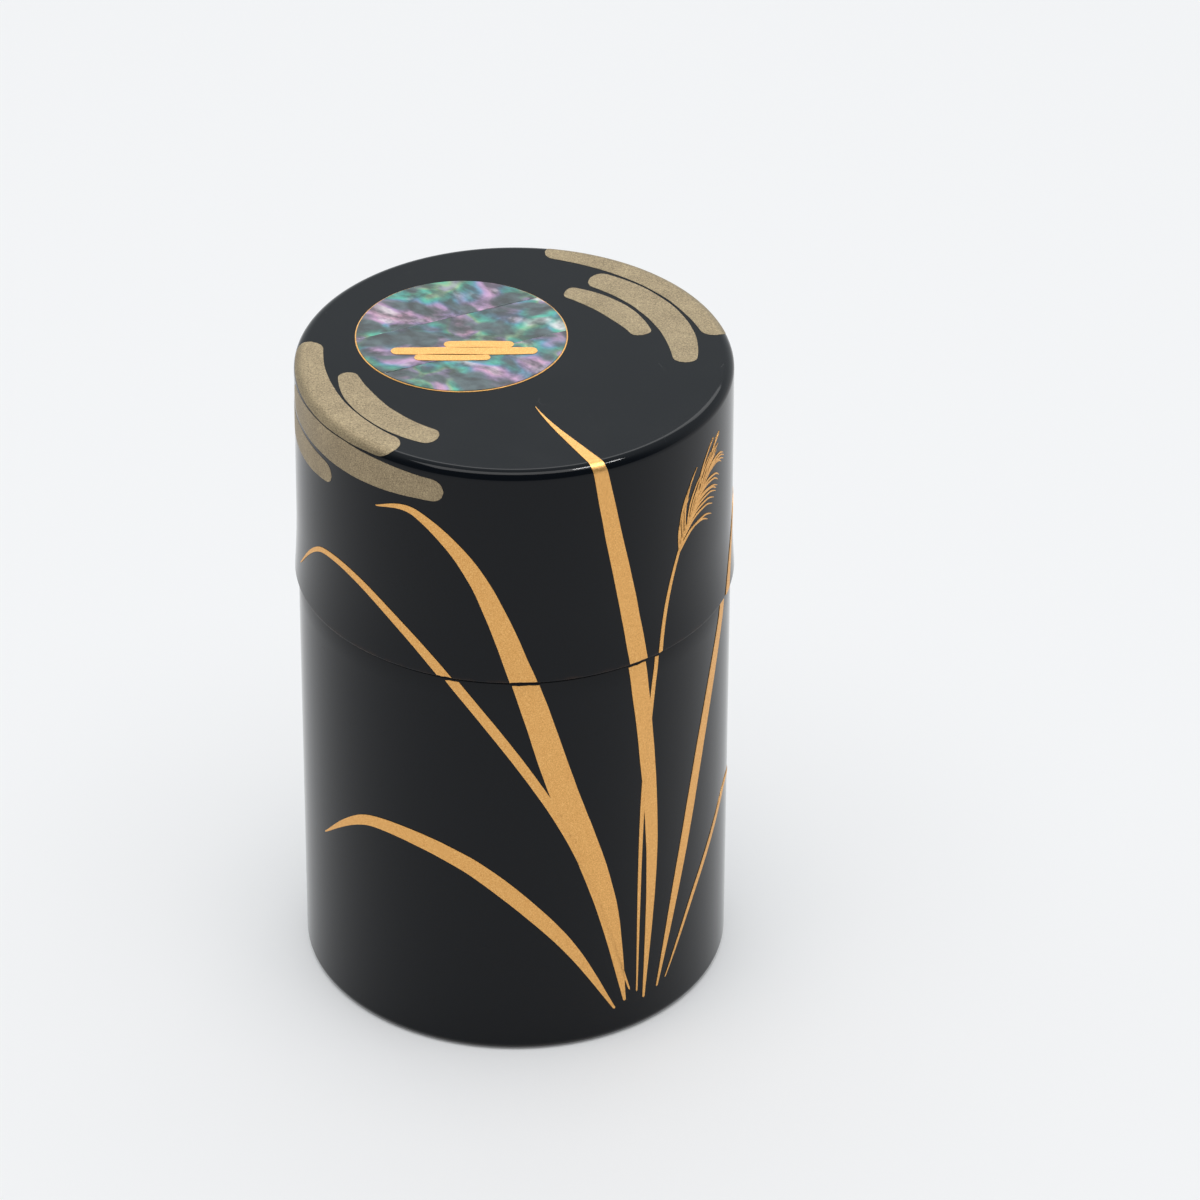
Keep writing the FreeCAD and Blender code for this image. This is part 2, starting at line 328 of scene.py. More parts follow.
# Finishes.

# How much of the floor's own shading gives way to plain white, where it is seen directly.
WHITE_SHARE = 0.56


def linear(code):
    """Linear colour, with full alpha, from an sRGB hex value."""
    parts = [int(code[i:i + 2], 16) / 255 for i in (1, 3, 5)]
    return tuple(c / 12.92 if c <= 0.04045 else ((c + 0.055) / 1.055) ** 2.4 for c in parts) + (1.0,)


def add(tree, kind, inputs, **settings):
    """Adds a node with its settings. An input takes a plain value or another node's output."""
    made = tree.nodes.new(kind)
    for name, value in settings.items():
        setattr(made, name, value)
    for socket, value in inputs.items():
        if isinstance(value, bpy.types.NodeSocket):
            tree.links.new(value, made.inputs[socket])
        else:
            made.inputs[socket].default_value = value
    return made


def set_stops(ramp, stops):
    """Gives a colour ramp its stops, (position, hex colour)."""
    elements = ramp.color_ramp.elements
    while len(elements) < len(stops):
        elements.new(1.0)
    for element, (position, code) in zip(elements, stops):
        element.position = position
        element.color = linear(code)


def new_material(name):
    """An empty material with its output, and where each point lies in metres."""
    material = bpy.data.materials.new(name)
    material.use_nodes = True
    tree = material.node_tree
    tree.nodes.clear()
    output = add(tree, "ShaderNodeOutputMaterial", {})
    where = add(tree, "ShaderNodeTexCoord", {}).outputs["Object"]
    return material, tree, output, where


def near_height(tree, height, level, reach):
    """1 at a level, fading to 0 at a reach above and below it."""
    away = add(tree, "ShaderNodeMath", {0: height, 1: level}, operation="SUBTRACT")
    distance = add(tree, "ShaderNodeMath", {0: away.outputs["Value"]}, operation="ABSOLUTE")
    return add(tree, "ShaderNodeMapRange", {
        "Value": distance.outputs["Value"], "From Max": reach, "To Min": 1.0, "To Max": 0.0,
    }, interpolation_type="SMOOTHSTEP").outputs["Result"]


def product(tree, one, other):
    """One value times another."""
    return add(tree, "ShaderNodeMath", {0: one, 1: other}, operation="MULTIPLY").outputs["Value"]


def within_lid_and_bore(tree, radius, height):
    """1 inside the lid and the body, which the polish doesn't reach, and 0 outside."""
    near_axis = add(tree, "ShaderNodeMath", {0: radius, 1: LID_BORE + 0.1 * MM}, operation="LESS_THAN")
    under_top = add(tree, "ShaderNodeMath", {0: height, 1: LID_CEILING + 0.5 * MM}, operation="LESS_THAN")
    return product(tree, near_axis.outputs["Value"], under_top.outputs["Value"])


def edge_wear(tree, where, radius, height):
    """0 to 1 in patches along the outer edges at the foot and beside the seam, where hands rub them."""
    outer = add(tree, "ShaderNodeMapRange", {
        "Value": radius, "From Min": RADIUS - 1.6 * MM, "From Max": RADIUS - 0.6 * MM,
    })
    foot = near_height(tree, height, 0.0, 1.6 * MM)
    seam = near_height(tree, height, SEAM, 0.9 * MM)
    level = add(tree, "ShaderNodeMath", {0: foot, 1: seam}, operation="MAXIMUM")
    edge = product(tree, level.outputs["Value"], outer.outputs["Result"])
    rubbed = add(tree, "ShaderNodeTexNoise", {"Vector": where, "Scale": 1 / (2.5 * MM), "Detail": 3.0})
    patchy = add(tree, "ShaderNodeMapRange", {
        "Value": rubbed.outputs["Fac"], "From Min": 0.42, "From Max": 0.66,
    })
    return product(tree, edge, patchy.outputs["Result"])


def hair_scratches(tree, where):
    """1 on a few faint scratches, 0.1 mm wide, and 0 between them."""
    cells = add(tree, "ShaderNodeTexVoronoi", {
        "Vector": where, "Scale": 1 / (17 * MM),
    }, feature="DISTANCE_TO_EDGE")
    line = add(tree, "ShaderNodeMapRange", {
        "Value": cells.outputs["Distance"], "From Max": 0.007, "To Min": 1.0, "To Max": 0.0,
    })
    broken = add(tree, "ShaderNodeTexNoise", {"Vector": where, "Scale": 1 / (6 * MM), "Detail": 2.0})
    sparse = add(tree, "ShaderNodeMapRange", {
        "Value": broken.outputs["Fac"], "From Min": 0.62, "From Max": 0.66,
    })
    return product(tree, line.outputs["Result"], sparse.outputs["Result"])


def polished_lacquer():
    """Black urushi lacquer, coat upon coat over turned wood, ground flat and polished to a mirror.

    It is a deep black whose only light is what it reflects: dark where it is seen squarely and bright
    where it is seen at a slant. Fine polishing marks soften the mirror unevenly. Handling has
    rubbed it duller at the foot and beside the seam, where the thin coat on the edges turns brown, and
    left a few faint hair scratches. Inside, the same lacquer is brushed on and left satin.
    """
    material, tree, output, where = new_material("polished_black_lacquer")
    height = add(tree, "ShaderNodeSeparateXYZ", {"Vector": where}).outputs["Z"]
    flat = add(tree, "ShaderNodeVectorMath", {0: where, 1: (1.0, 1.0, 0.0)}, operation="MULTIPLY")
    radius = add(tree, "ShaderNodeVectorMath", {
        0: flat.outputs["Vector"],
    }, operation="LENGTH").outputs["Value"]
    inside = within_lid_and_bore(tree, radius, height)
    wear = edge_wear(tree, where, radius, height)
    scuffed = add(tree, "ShaderNodeMath", {0: wear, 1: hair_scratches(tree, where)}, operation="MAXIMUM")
    haze = add(tree, "ShaderNodeTexNoise", {"Vector": where, "Scale": 1 / (14 * MM), "Detail": 3.0})
    gloss = add(tree, "ShaderNodeMapRange", {
        "Value": haze.outputs["Fac"], "From Min": 0.35, "From Max": 0.7, "To Min": 0.06, "To Max": 0.11,
    })
    dulled = add(tree, "ShaderNodeMath", {
        0: scuffed.outputs["Value"], 1: 0.22, 2: gloss.outputs["Result"],
    }, operation="MULTIPLY_ADD")
    outside = add(tree, "ShaderNodeMix", {
        "Factor": wear, 6: linear("#03070E"), 7: linear("#2A1B14"),
    }, data_type="RGBA")
    colour = add(tree, "ShaderNodeMix", {
        "Factor": inside, 6: outside.outputs[2], 7: linear("#1B1817"),
    }, data_type="RGBA")
    finish = add(tree, "ShaderNodeMix", {
        "Factor": inside, 2: dulled.outputs["Value"], 3: 0.3,
    }, data_type="FLOAT")
    wave = add(tree, "ShaderNodeTexNoise", {"Vector": where, "Scale": 1 / (9 * MM), "Detail": 1.0})
    bump = add(tree, "ShaderNodeBump", {
        "Height": wave.outputs["Fac"], "Strength": 1.0, "Distance": 0.004 * MM,
    })
    shader = add(tree, "ShaderNodeBsdfPrincipled", {
        "Base Color": colour.outputs[2], "Roughness": finish.outputs[0],
        "Normal": bump.outputs["Normal"], "IOR": 1.52, "Specular IOR Level": 0.2,
    })
    tree.links.new(shader.outputs["BSDF"], output.inputs["Surface"])
    return material


def satin_lacquer():
    """Black lacquer inside, brushed on and left satin, so it shows soft wide highlights and brush marks."""
    material, tree, output, where = new_material("satin_black_lacquer")
    marks = add(tree, "ShaderNodeMapping", {"Vector": where, "Scale": (1.0, 1.0, 7.0)})
    brush = add(tree, "ShaderNodeTexNoise", {
        "Vector": marks.outputs["Vector"], "Scale": 1 / (5 * MM), "Detail": 2.0,
    })
    gloss = add(tree, "ShaderNodeMapRange", {"Value": brush.outputs["Fac"], "To Min": 0.2, "To Max": 0.36})
    bump = add(tree, "ShaderNodeBump", {
        "Height": brush.outputs["Fac"], "Strength": 1.0, "Distance": 0.008 * MM,
    })
    shader = add(tree, "ShaderNodeBsdfPrincipled", {
        "Base Color": linear("#12100F"), "Roughness": gloss.outputs["Result"],
        "Normal": bump.outputs["Normal"], "IOR": 1.52, "Specular IOR Level": 0.3,
    })
    tree.links.new(shader.outputs["BSDF"], output.inputs["Surface"])
    return material


def gold_powder():
    """Fine gold powder sown on wet lacquer and burnished: a warm metal with a tight grain of 0.2 mm."""
    material, tree, output, where = new_material("burnished_gold_powder")
    grain = add(tree, "ShaderNodeTexNoise", {"Vector": where, "Scale": 1 / (0.2 * MM), "Detail": 2.0})
    colour = add(tree, "ShaderNodeValToRGB", {"Fac": grain.outputs["Fac"]})
    set_stops(colour, [(0.3, "#D9A05C"), (0.55, "#EFB86F"), (0.75, "#FFD08A")])
    gloss = add(tree, "ShaderNodeMapRange", {"Value": grain.outputs["Fac"], "To Min": 0.38, "To Max": 0.54})
    bump = add(tree, "ShaderNodeBump", {
        "Height": grain.outputs["Fac"], "Strength": 1.0, "Distance": 0.006 * MM,
    })
    shader = add(tree, "ShaderNodeBsdfPrincipled", {
        "Base Color": colour.outputs["Color"], "Roughness": gloss.outputs["Result"],
        "Normal": bump.outputs["Normal"], "Metallic": 1.0,
    })
    tree.links.new(shader.outputs["BSDF"], output.inputs["Surface"])
    return material


def gold_dust():
    """Gold dust sprinkled thinly on black lacquer: a grey gold of single grains, 0.2 mm, unevenly dense."""
    material, tree, output, where = new_material("sprinkled_gold_dust")
    grain = add(tree, "ShaderNodeTexNoise", {"Vector": where, "Scale": 1 / (0.22 * MM), "Detail": 2.0})
    drift = add(tree, "ShaderNodeTexNoise", {"Vector": where, "Scale": 1 / (6 * MM), "Detail": 2.0})
    density = add(tree, "ShaderNodeMath", {
        0: drift.outputs["Fac"], 1: 0.22, 2: grain.outputs["Fac"],
    }, operation="MULTIPLY_ADD")
    colour = add(tree, "ShaderNodeValToRGB", {"Fac": density.outputs["Value"]})
    set_stops(colour, [(0.42, "#7D6F58"), (0.56, "#97866B"), (0.70, "#A79678"), (0.82, "#BCA988")])
    bump = add(tree, "ShaderNodeBump", {
        "Height": grain.outputs["Fac"], "Strength": 1.0, "Distance": 0.012 * MM,
    })
    shader = add(tree, "ShaderNodeBsdfPrincipled", {
        "Base Color": colour.outputs["Color"], "Normal": bump.outputs["Normal"],
        "Metallic": 0.85, "Roughness": 0.5,
    })
    tree.links.new(shader.outputs["BSDF"], output.inputs["Surface"])
    return material


def abalone(name, turned, sawn_at):
    """Polished abalone shell, cut thin: slate grey nacre with soft patches of teal, green and pink.

    The patches are 5 to 8 mm long, a little longer along the shell's growth lines than across them,
    and one colour leads over each centimetre or so. turned is how far the growth lines are turned, in
    radians, and sawn_at is where on the shell the strip was sawn out, in millimetres.
    """
    material, tree, output, where = new_material(name)
    laid = add(tree, "ShaderNodeMapping", {
        "Vector": where, "Location": (sawn_at * MM, -sawn_at * MM, 0.0), "Rotation": (0.0, 0.0, turned),
    })
    warp = add(tree, "ShaderNodeTexNoise", {
        "Vector": laid.outputs["Vector"], "Scale": 1 / (12 * MM), "Detail": 1.0,
    })
    bent = add(tree, "ShaderNodeVectorMath", {
        0: warp.outputs["Color"], 1: (6 * MM,) * 3, 2: laid.outputs["Vector"],
    }, operation="MULTIPLY_ADD")
    long_way = add(tree, "ShaderNodeMapping", {"Vector": bent.outputs["Vector"], "Scale": (1.0, 1.35, 1.0)})
    leading = add(tree, "ShaderNodeTexNoise", {
        "Vector": bent.outputs["Vector"], "Scale": 1 / (12 * MM), "Detail": 2.0, "Roughness": 0.6,
    })
    hue = add(tree, "ShaderNodeValToRGB", {"Fac": leading.outputs["Fac"]})
    set_stops(hue, [
        (0.30, "#DFA5BE"), (0.41, "#B18FBC"), (0.455, "#5E93B2"), (0.49, "#38A79C"),
        (0.53, "#4CB492"), (0.555, "#93B688"), (0.58, "#A08EB4"), (0.64, "#D199B8"), (0.72, "#EDB6C0"),
    ])
    patches = add(tree, "ShaderNodeTexNoise", {
        "Vector": long_way.outputs["Vector"], "Scale": 1 / (6.5 * MM), "Detail": 2.0, "Roughness": 0.45,
    })
    showing = add(tree, "ShaderNodeMapRange", {
        "Value": patches.outputs["Fac"], "From Min": 0.38, "From Max": 0.56,
    }, interpolation_type="SMOOTHSTEP")
    coloured = add(tree, "ShaderNodeMix", {
        "Factor": showing.outputs["Result"], 6: linear("#4B5D60"), 7: hue.outputs["Color"],
    }, data_type="RGBA")
    # Painted highlight: near white mixed into the colour at the middle of the brightest patches, where
    # light would catch the nacre.
    painted_highlight = add(tree, "ShaderNodeMapRange", {
        "Value": patches.outputs["Fac"], "From Min": 0.56, "From Max": 0.72, "To Max": 0.8,
    }, interpolation_type="SMOOTHSTEP")
    colour = add(tree, "ShaderNodeMix", {
        "Factor": painted_highlight.outputs["Result"], 6: coloured.outputs[2], 7: linear("#F1E3E6"),
    }, data_type="RGBA")
    lustre = add(tree, "ShaderNodeTexNoise", {
        "Vector": long_way.outputs["Vector"], "Scale": 1 / (3.4 * MM), "Detail": 3.0, "Roughness": 0.55,
    })
    shade = add(tree, "ShaderNodeValToRGB", {"Fac": lustre.outputs["Fac"]})
    set_stops(shade, [(0.36, "#6E7476"), (0.50, "#C4C7C9"), (0.63, "#FFFFFF")])
    tone = add(tree, "ShaderNodeMix", {
        "Factor": 1.0, 6: colour.outputs[2], 7: shade.outputs["Color"],
    }, data_type="RGBA", blend_type="MULTIPLY")
    bump = add(tree, "ShaderNodeBump", {
        "Height": lustre.outputs["Fac"], "Strength": 1.0, "Distance": 0.06 * MM,
    })
    shader = add(tree, "ShaderNodeBsdfPrincipled", {
        "Base Color": tone.outputs[2], "Normal": bump.outputs["Normal"],
        "Metallic": 0.3, "Roughness": 0.3, "IOR": 1.6, "Coat Weight": 0.5, "Coat Roughness": 0.08,
    })
    tree.links.new(shader.outputs["BSDF"], output.inputs["Surface"])
    return material


def paper_floor():
    """White card under the caddy, matt and even.

    It is seen near white, also in the polished lacquer, with the caddy's shadow kept where it stands.
    """
    material, tree, output, where = new_material("white_card")
    card = add(tree, "ShaderNodeBsdfPrincipled", {
        "Base Color": linear("#F0F0F1"), "Roughness": 1.0, "Specular IOR Level": 0.0,
    })
    white = add(tree, "ShaderNodeEmission", {"Color": linear("#F6F6F7"), "Strength": 1.0})
    path = add(tree, "ShaderNodeLightPath", {})
    seen = add(tree, "ShaderNodeMath", {
        0: path.outputs["Is Camera Ray"], 1: path.outputs["Is Glossy Ray"],
    }, operation="MAXIMUM")
    direct = add(tree, "ShaderNodeMath", {
        0: seen.outputs["Value"], 1: path.outputs["Is Transmission Ray"],
    }, operation="MAXIMUM")
    open_to_light = add(tree, "ShaderNodeAmbientOcclusion", {"Distance": 30 * MM}, samples=8)
    whitened = product(tree, open_to_light.outputs["AO"], WHITE_SHARE)
    mixed = add(tree, "ShaderNodeMixShader", {
        "Fac": product(tree, direct.outputs["Value"], whitened),
        1: card.outputs["BSDF"], 2: white.outputs["Emission"],
    })
    tree.links.new(mixed.outputs["Shader"], output.inputs["Surface"])
    return material


LACQUER = polished_lacquer()
SATIN = satin_lacquer()
BURNISHED = gold_powder()
SPRINKLED = gold_dust()


# The turned pieces.

def make_body():
    """The body's tube, polished outside and drawn in a little below the seam."""
    base_seat = BASE_HIGH.x + GLUE_LINE
    neck_seat = NECK_RADIUS + GLUE_LINE
    bends = 5
    drawn = [SEAM - DRAW_IN_HEIGHT * (1 - i / bends) for i in range(bends - 1)]
    foot_edge = 0.3 * MM
    seat_edge = 0.1 * MM
    piece = turn([
        (base_seat, 0.0, foot_edge),
        (RADIUS, 0.0, FOOT_ROUNDING),
        *[(body_radius(height), height) for height in drawn],
        (body_radius(SEAM), SEAM, MOUTH_ROUNDING),
        (neck_seat, SEAM, seat_edge),
        (neck_seat, NECK_LOW.z),
        (BORE, NECK_LOW.z),
        (BORE, BASE_HIGH.z),
        (base_seat, BASE_HIGH.z),
    ])
    finish_piece(piece, "body_lacquered", "caddy", LACQUER, ["body_wall"])


def make_base():
    """The disc let into the foot."""
    edge = 0.2 * MM
    piece = turn([
        (0.0, BASE_LOW.z),
        (BASE_HIGH.x, BASE_LOW.z, edge),
        (BASE_HIGH.x, BASE_HIGH.z),
        (0.0, BASE_HIGH.z),
    ])
    finish_piece(piece, "base_lacquered", "caddy", SATIN, ["body_base"])


def make_neck():
    """The thin tube that guides the lid."""
    inner_edge = 0.3 * MM
    piece = turn([
        (BORE, NECK_LOW.z),
        (NECK_RADIUS, NECK_LOW.z),
        (NECK_RADIUS, NECK_HIGH.z, NECK_ROUNDING),
        (BORE, NECK_HIGH.z, inner_edge),
    ])
    finish_piece(piece, "neck_turned", "caddy", SATIN, ["neck_sleeve"])


def make_lid():
    """The lid under one skin of lacquer, wall and top together."""
    bends = 8
    flared = [SEAM + FLARE_HEIGHT * (1 - i / bends) for i in range(bends)]
    bore_edge = 0.15 * MM
    ceiling_corner = 0.5 * MM
    piece = turn([
        (0.0, HEIGHT),
        (RADIUS, HEIGHT, SHOULDER),
        (lid_radius(HEIGHT - LID_JOINT), HEIGHT - LID_JOINT),
        *[(lid_radius(height), height) for height in flared],
        (RIM_RADIUS, SEAM, RIM_ROUNDING),
        (LID_BORE, SEAM, bore_edge),
        (LID_BORE, LID_CEILING, ceiling_corner),
        (0.0, LID_CEILING),
    ])
    finish_piece(piece, "lid_lacquered", "lid", LACQUER, ["lid_wall", "lid_top"])


def make_inner_lid():
    """The plate with its plug rim."""
    hole = KNOB_SPIGOT + GLUE_LINE
    plug = BORE - PLUG_CLEARANCE
    plug_inside = plug - PLUG_WALL
    plate_foot = NECK_HIGH.z
    inner_edge = 0.3 * MM
    piece = turn([
        (hole, plate_foot),
        (plug_inside, plate_foot, inner_edge),
        (plug_inside, INNER_LOW.z, inner_edge),
        (plug, INNER_LOW.z, PLATE_ROUNDING),
        (plug, plate_foot),
        (INNER_HIGH.x, plate_foot),
        (INNER_HIGH.x, INNER_HIGH.z, PLATE_ROUNDING),
        (hole, INNER_HIGH.z),
    ])
    finish_piece(piece, "inner_lid_turned", "inner_lid_body", SATIN, ["inner_lid"])


def make_knob():
    """The inner lid's knob, turned with a waist under its head."""
    stem_top = INNER_HIGH.z + KNOB_STEM_HEIGHT
    head_foot = KNOB_HIGH.z - KNOB_EDGE
    head = KNOB_HIGH.x
    waist_corner = 0.6 * MM
    head_corner = 0.5 * MM
    piece = turn([
        (0.0, KNOB_LOW.z),
        (KNOB_SPIGOT, KNOB_LOW.z),
        (KNOB_SPIGOT, INNER_HIGH.z),
        (KNOB_STEM, INNER_HIGH.z),
        (KNOB_STEM, stem_top, waist_corner),
        (head, head_foot, head_corner),
        (head, KNOB_HIGH.z, KNOB_ROUNDING),
        (0.0, KNOB_HIGH.z),
    ], steps=AROUND_KNOB)
    finish_piece(piece, "knob_turned", "inner_lid_body", SATIN, ["inner_lid_knob"])


# How the strips differ: how far the growth lines of each are turned, in radians, and where on the
# shell, in millimetres, it was sawn out.
GRAIN_TURNS = (0.3, -0.2, 0.15)
SAWN_AT = (3.0, 31.0, 58.0)


def make_strip(low, high):
    """A strip of the moon's disc between two chords, let into the lid, with its edges broken."""
    bpy.ops.object.select_all(action="DESELECT")
    bpy.ops.mesh.primitive_circle_add(
        vertices=AROUND_MOON, radius=MOON_RADIUS, fill_type="NGON", location=(MOON.x, MOON.y, SHELL_HIGH.z),
    )
    strip = bpy.context.object
    bpy.ops.object.transform_apply(location=True, rotation=True, scale=True)
    bpy.ops.object.mode_set(mode="EDIT")
    across = Vector((-math.sin(MOON_TURN), math.cos(MOON_TURN), 0.0))
    for chord, side in ((low, 1.0), (high, -1.0)):
        if abs(chord) > MOON_RADIUS - SHELL_JOINT:
            continue
        bpy.ops.mesh.select_all(action="SELECT")
        at = MOON + across * chord
        bpy.ops.mesh.bisect(
            plane_co=(at.x, at.y, SHELL_HIGH.z), plane_no=across * side, clear_inner=True,
        )
    bpy.ops.mesh.select_all(action="SELECT")
    down = (0.0, 0.0, SHELL_LOW.z - SHELL_HIGH.z)
    bpy.ops.mesh.extrude_region_move(TRANSFORM_OT_translate={"value": down})
    bpy.ops.mesh.select_all(action="SELECT")
    bpy.ops.mesh.normals_make_consistent(inside=False)
    bpy.ops.object.mode_set(mode="OBJECT")
    bpy.ops.object.modifier_add(type="BEVEL")
    strip.modifiers[-1].width = 0.08 * MM
    strip.modifiers[-1].segments = 3
    strip.modifiers[-1].limit_method = "ANGLE"
    apply_all(strip)
    smooth(strip)
    return strip


def make_moon():
    """The shell moon: three strips sawn from a disc, each with its own run of colour."""
    strip_width = 2 * MOON_RADIUS / MOON_STRIPS
    for i in range(MOON_STRIPS):
        low = -MOON_RADIUS + i * strip_width
        strip = make_strip(low + SHELL_JOINT / 2, low + strip_width - SHELL_JOINT / 2)
        shell = abalone("abalone_shell_%d" % (i + 1), MOON_TURN + GRAIN_TURNS[i], SAWN_AT[i])
        name = "moon_strip_%d" % (i + 1)
        finish_piece(strip, name, "lid", shell, ["moon_shell_%d" % (i + 1)])


# The picture: autumn grass that rises from the foot, mist along the shoulder, and cloud on the moon.

# Grass leaves, each through points (around, up, width) in millimetres.
LEAVES = [
    [(20, 7, 0.5), (16, 30, 4), (8, 56, 4.9), (1, 80, 4.3), (-7, 100, 3), (-17, 110, 1.5), (-25, 109, 0.2)],
    [(24, 6, 0.45), (25.5, 40, 2.6), (22, 78, 3.5), (17, 106, 3.0), (13, 126, 2.0), (8, 140, 0.2)],
    [(27, 7, 0.4), (33, 32, 2.2), (40, 58, 2.6), (49, 80, 2.2), (58, 92, 1.2), (66, 90, 0.2)],
    [(18, 6, 0.4), (7, 25, 2.6), (-9, 40, 3.3), (-27, 43, 2.2), (-41, 33, 0.2)],
    [(21, 9, 0.3), (9, 46, 1.5), (-8, 74, 1.9), (-25, 90, 1.6), (-39, 93, 1.0), (-50, 84, 0.2)],
    [(29, 8, 0.25), (38, 24, 1.1), (50, 36, 1.2), (60, 34, 0.2)],
]

# The stem of the plume, and its hairs: how many, where the first leaves the stem, and their length.
STEM = [(22.5, 8, 0.3), (23.5, 50, 0.9), (27, 82, 0.8), (32, 99, 0.6), (39, 108, 0.35)]
HAIRS = 30
FIRST_HAIR = 0.70
HAIR_LENGTH = 15.0

# A hair's width where it leaves the stem, and its three parts, each with its share of the length and
# the width at its end.
HAIR_ROOT = 0.3
HAIR_PARTS = ((0.4, 0.42), (0.35, 0.34), (0.25, 0.1))

# A hair's angle to the stem in radians: at the first hair, how much less at the last one, and how far
# single hairs stray from it.
SPREAD = 0.45
SPREAD_LOSS = 0.25
SPREAD_STRAY = 0.25

# A hair's length as a share of the full length, how far single hairs stray from it, and how much
# shorter the last one is than the first.
LENGTH_SHARE = 0.75
LENGTH_STRAY = 0.35
LENGTH_LOSS = 0.35

# How far a hair droops at each part in radians, on the side above the stem and on the side under it.
DROOP_ABOVE = 0.3025
DROOP_UNDER = 0.55

# The share of the stem over which its direction is taken, and how far apart in the noise that makes
# them stray two hairs lie.
STEM_SHARE = 0.01
STRAY_STEP = 3.7

# Mist along the shoulder, each band through points (around, up, width) in millimetres.
MIST = [
    [(-52, 127.9, 3.0), (-42, 127.6, 5.0), (-28, 127.4, 5.2), (-17, 127.5, 4.4)],
    [(-64, 121.7, 4.6), (-50, 121.7, 5.8), (-34, 121.6, 5.9), (-22, 121.5, 5.2)],
    [(-55, 115.4, 5.0), (-42, 115.5, 5.7), (-28, 115.4, 5.8), (-12, 115.3, 4.0)],
    [(-68, 109.7, 3.6), (-58, 109.6, 4.8), (-46, 109.5, 5.0), (-36, 109.6, 3.6)],
    [(66, 121.4, 4.6), (80, 121.5, 5.8), (98, 121.6, 5.8), (112, 121.6, 4.2)],
    [(56, 127.6, 4.0), (70, 127.7, 5.6), (86, 127.8, 5.6), (100, 127.8, 4.8)],
    [(70, 133.6, 3.4), (82, 133.8, 4.8), (93, 133.8, 4.6), (103, 133.7, 3.4)],
    [(84, 115.6, 4.2), (98, 115.5, 5.0), (116, 115.6, 4.0)],
]

# Wisps of cloud in solid gold on the moon.
CLOUD = [
    [(-12, 3.3, 1.9), (-6, 3.3, 2.2), (0, 3.3, 1.9)],
    [(-21, 1.2, 2.1), (-9, 1.1, 2.5), (4, 1.2, 2.1)],
    [(-17, -0.9, 1.8), (-11, -0.9, 2.1), (-4, -0.9, 1.8)],
]


def plume_hairs():
    """The plume's hairs, which leave the stem on both sides, shorter to its tip, and droop to the right."""
    hairs = []
    for i in range(HAIRS):
        share = FIRST_HAIR + (1.0 - FIRST_HAIR) * i / (HAIRS - 1)
        x, y, width = through(STEM, share)
        ahead = through(STEM, min(share + STEM_SHARE, 1.0))
        behind = through(STEM, share - STEM_SHARE)
        run = math.atan2(ahead[1] - behind[1], ahead[0] - behind[0])
        stray = noise.noise(Vector((i * STRAY_STEP, 0.5, 0.5)))
        above = i % 2
        side = 1.0 if above else -1.0
        spread = side * (SPREAD - SPREAD_LOSS * i / HAIRS) + SPREAD_STRAY * stray
        length = HAIR_LENGTH * (LENGTH_SHARE + LENGTH_STRAY * stray) * (1.0 - LENGTH_LOSS * i / HAIRS)
        droop = DROOP_ABOVE if above else DROOP_UNDER
        points = [(x, y, HAIR_ROOT)]
        for bend, (part, thick) in enumerate(HAIR_PARTS):
            heading = run + spread - droop * bend
            x += part * length * math.cos(heading)
            y += part * length * math.sin(heading)
            points.append((x, y, thick))
        hairs.append(points)
    return hairs


def make_grass():
    """Leaves and a plume of pampas grass, drawn over body and lid, and parted at the seam."""
    strokes = LEAVES + [STEM] + plume_hairs()
    seam = SEAM / MM
    low = [route for route in strokes if min(up for across, up, width in route) < seam]
    high = [route for route in strokes if max(up for across, up, width in route) > seam]
    pieces = [stroke(on_wall, "body", route, GOLD, round_ends=True) for route in low]
    finish_piece(join(pieces), "grass_on_body", "caddy", BURNISHED)
    pieces = [stroke(on_wall, "lid", route, GOLD, round_ends=True) for route in high]
    finish_piece(join(pieces), "grass_on_lid", "lid", BURNISHED)


def make_mist():
    """Bands of mist in sprinkled gold, with round ends and fine dark lines left between them."""
    pieces = [stroke(on_wall, "lid", route, DUST, round_ends=True, sway=0.03) for route in MIST]
    finish_piece(join(pieces), "mist_on_lid", "lid", SPRINKLED)


def make_cloud():
    """The wisp of cloud across the moon."""
    pieces = [stroke(on_moon, "lid", route, GOLD, round_ends=True) for route in CLOUD]
    finish_piece(join(pieces), "cloud_on_moon", "lid", BURNISHED)


def make_moon_edge():
    """The thin line of gold that closes the joint around the shell."""
    outside = MOON_RADIUS + 0.22 * MM
    outer_top = HEIGHT + 0.1 * MM
    inner_top = HEIGHT + 0.12 * MM
    piece = turn([
        (MOON_RADIUS, HEIGHT),
        (outside, HEIGHT),
        (outside, outer_top, 0.06 * MM),
        (MOON_RADIUS, inner_top, 0.04 * MM),
    ], steps=AROUND_MOON, centre=(MOON.x, MOON.y))
    finish_piece(piece, "gold_line_round_moon", "lid", BURNISHED)


make_body()
make_base()
make_neck()
make_lid()
make_inner_lid()
make_knob()
make_moon()
make_moon_edge()
make_grass()
make_mist()
make_cloud()


# The studio: a white card floor, soft light from two overhead boxes, two small lamps for the glints on
# the shoulder, and a room that is pale behind the caddy and dim in front of it.

FLOOR_SIZE = 12.0

# A lamp's width, and its brightness, where 1 is white.
LAMP_WIDTH = 0.06
LAMP_LEVEL = 90.0


def make_floor():
    """The sheet of card, which is all that the camera sees around the caddy."""
    bpy.ops.object.select_all(action="DESELECT")
    bpy.ops.mesh.primitive_plane_add(size=FLOOR_SIZE)
    floor = bpy.context.object
    floor.name = "floor"
    floor.data.materials.append(paper_floor())


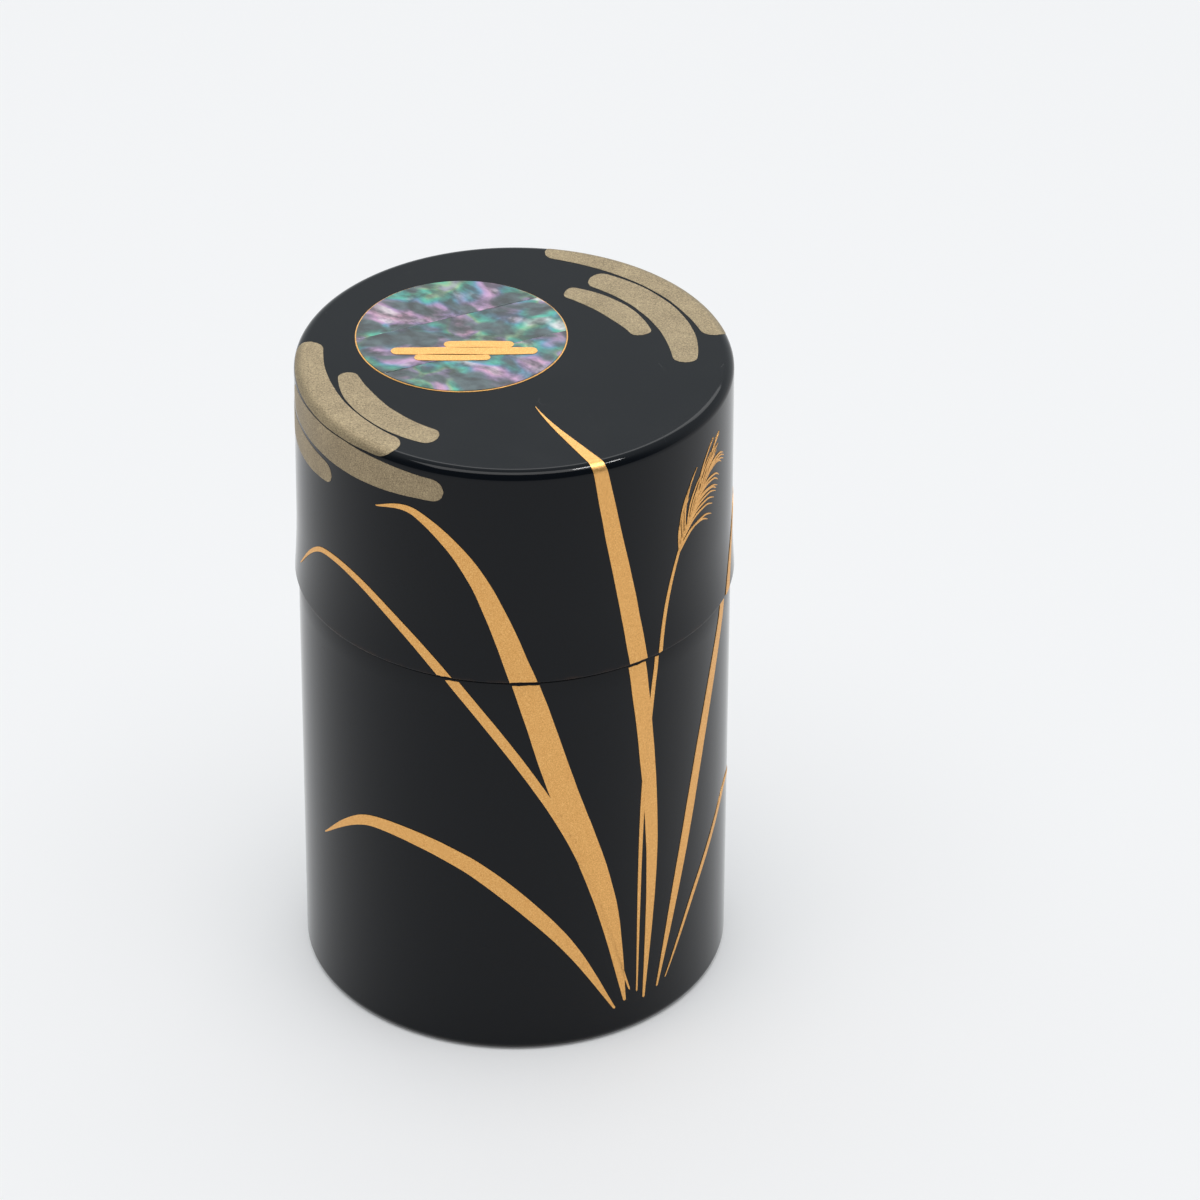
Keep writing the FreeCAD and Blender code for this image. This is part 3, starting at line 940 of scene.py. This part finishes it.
def make_room():
    """The room around it all, dim in front of the caddy and pale behind it."""
    world = bpy.data.worlds.new("room")
    bpy.context.scene.world = world
    world.use_nodes = True
    tree = world.node_tree
    tree.nodes.clear()
    output = add(tree, "ShaderNodeOutputWorld", {})
    way = add(tree, "ShaderNodeTexCoord", {})
    split = add(tree, "ShaderNodeSeparateXYZ", {"Vector": way.outputs["Generated"]})
    level = add(tree, "ShaderNodeMapRange", {
        "Value": split.outputs["Y"], "From Min": -0.5, "From Max": 0.3, "To Min": 0.2, "To Max": 0.93,
    }, interpolation_type="SMOOTHSTEP")
    light = add(tree, "ShaderNodeBackground", {
        "Color": linear("#F2F9FC"), "Strength": level.outputs["Result"],
    })
    tree.links.new(light.outputs["Background"], output.inputs["Surface"])


def make_light(name, place, size, level):
    """A soft box that faces the caddy. level is its brightness, where 1 is white."""
    data = bpy.data.lights.new(name, "AREA")
    data.shape = "RECTANGLE"
    data.size, data.size_y = size
    data.energy = level * math.pi * size[0] * size[1]
    light = bpy.data.objects.new(name, data)
    bpy.context.scene.collection.objects.link(light)
    light.location = place
    light.rotation_euler = (-Vector(place)).to_track_quat("-Z", "Y").to_euler()
    return light


def make_lamp(name, place, length, turned):
    """A bare tube at the ceiling. It gives the shoulder its small glints, and no other light."""
    lamp = make_light(name, place, (length, LAMP_WIDTH), LAMP_LEVEL)
    lamp.rotation_euler = (0.0, 0.0, turned)
    lamp.visible_diffuse = False


def make_camera():
    """The camera as fitted to the photograph: its pose is worked out in body radii."""
    pitch, yaw, roll = 0.5886, 0.0158, 0.0059
    back, high = 25.0733 * RADIUS, 18.6061 * RADIUS
    focal_px, frame_px = 6481.1, 1200.0
    data = bpy.data.cameras.new("camera")
    data.sensor_width = 36.0
    data.lens = data.sensor_width * focal_px / frame_px
    camera = bpy.data.objects.new("camera", data)
    bpy.context.scene.collection.objects.link(camera)
    camera.location = (0.0, -back, high)
    ahead = Vector((math.sin(yaw) * math.cos(pitch), math.cos(yaw) * math.cos(pitch), -math.sin(pitch)))
    camera.rotation_mode = "QUATERNION"
    camera.rotation_quaternion = ahead.to_track_quat("-Z", "Y") @ Quaternion((0.0, 0.0, 1.0), roll)
    bpy.context.scene.camera = camera


make_floor()
make_room()
make_light("back_box", place=(0.0, 0.92, 0.98), size=(1.3, 0.32), level=2.0)
make_light("top_box", place=(0.0, -0.28, 1.25), size=(1.3, 0.55), level=3.4)
make_lamp("lamp_left", place=(0.43, -0.195, 1.2), length=0.19, turned=0.42)
make_lamp("lamp_right", place=(0.60, -0.10, 1.2), length=0.1, turned=0.58)
make_camera()
bpy.context.scene.view_settings.view_transform = "Standard"
